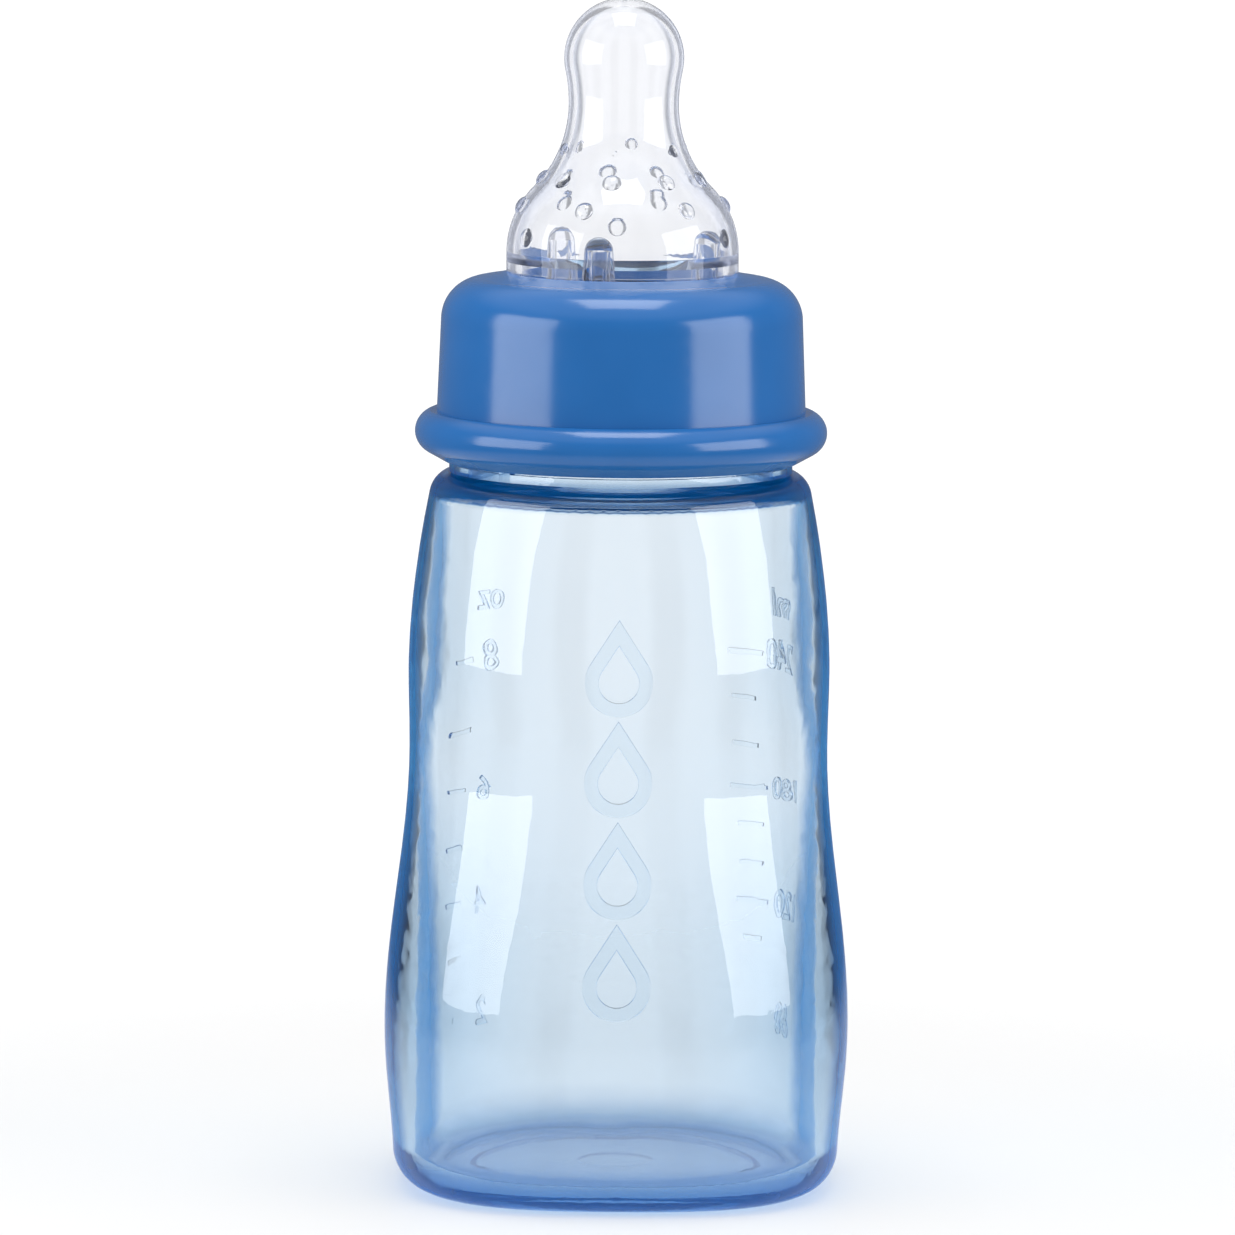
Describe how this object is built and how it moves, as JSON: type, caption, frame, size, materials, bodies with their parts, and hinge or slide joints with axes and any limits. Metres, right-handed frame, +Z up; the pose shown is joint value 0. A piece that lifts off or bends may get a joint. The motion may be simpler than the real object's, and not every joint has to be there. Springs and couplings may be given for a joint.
{
  "type": "baby bottle",
  "caption": "Waisted feeding bottle in clear tinted plastic, with a screw collar that unscrews and lifts off and a soft nubbed nipple.",
  "frame": {"origin": "centre of the base, on the surface the bottle stands on", "axes": "+Z up along the bottle's axis, -Y the front with the raised drops, +X to the right"},
  "size_m": [0.0698, 0.0704, 0.1781],
  "materials": {
    "tinted_plastic": "clear blue-tinted polypropylene, glossy",
    "blue_plastic": "opaque moulded polypropylene, satin gloss",
    "clear_silicone": "clear soft silicone, glossy"
  },
  "bodies": {
    "bottle": {"bottle": "tinted_plastic"},
    "collar": {"collar": "blue_plastic"},
    "nipple": {"nipple": "clear_silicone"}
  },
  "joints": [
    {"name": "collar_lift", "type": "slide", "parent": "bottle", "child": "nipple", "axis": [0, 0, 1], "range_m": [0, 0.0251]},
    {"name": "collar_turn", "type": "hinge", "parent": "nipple", "child": "collar", "pos_m": [0, 0, 0.12], "axis": [0, 0, 1], "range_deg": [0, 2250]}
  ],
  "couplings": [
    {"joint": "collar_lift", "follows": "collar_turn", "m_per_rad": 0.00063662}
  ]
}
